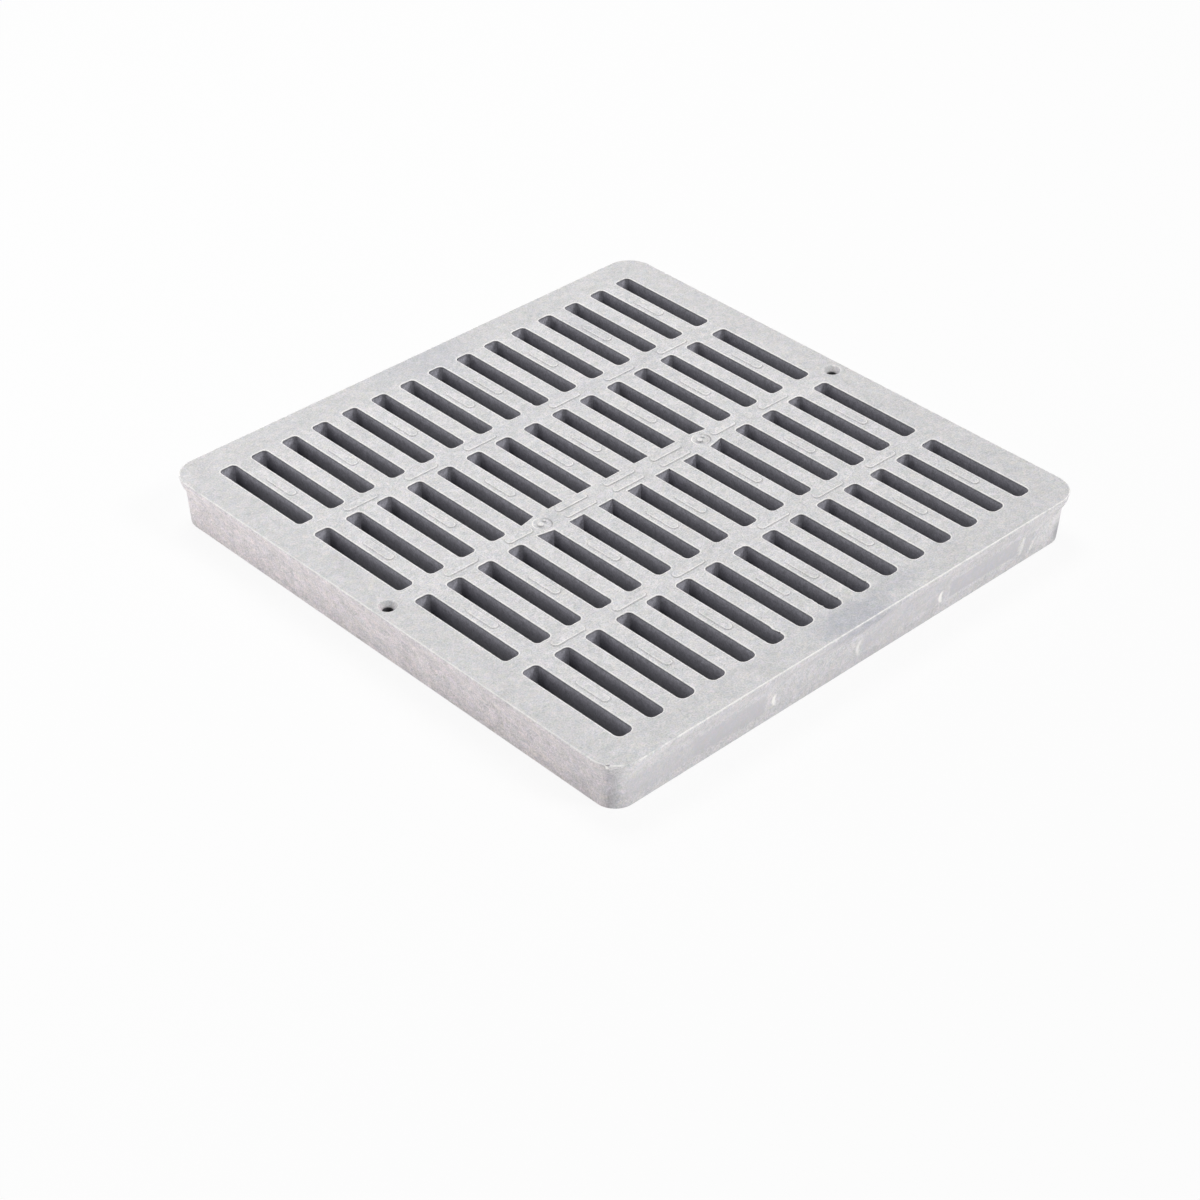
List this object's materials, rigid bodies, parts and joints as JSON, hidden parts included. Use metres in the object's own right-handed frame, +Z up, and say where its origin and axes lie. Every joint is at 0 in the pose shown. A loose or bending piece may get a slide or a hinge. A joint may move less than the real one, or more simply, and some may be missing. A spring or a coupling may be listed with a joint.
{
  "type": "gully grate",
  "caption": "Square one-piece plastic gully grate: rows of tapered slots in a flat plate, inset skirt under the rim, countersunk screw holes at opposite edges.",
  "frame": {"origin": "middle of the grate on the plane of the skirt's foot", "axes": "+X across the slots and through both screw holes, +Y along the slots, +Z up out of the walked-on face"},
  "size_m": [0.2964, 0.2964, 0.0263],
  "materials": {
    "grey_polyethylene": "matt, as moulded, fine flow marks"
  },
  "bodies": {
    "root": {"grate": "grey_polyethylene"}
  },
  "joints": []
}
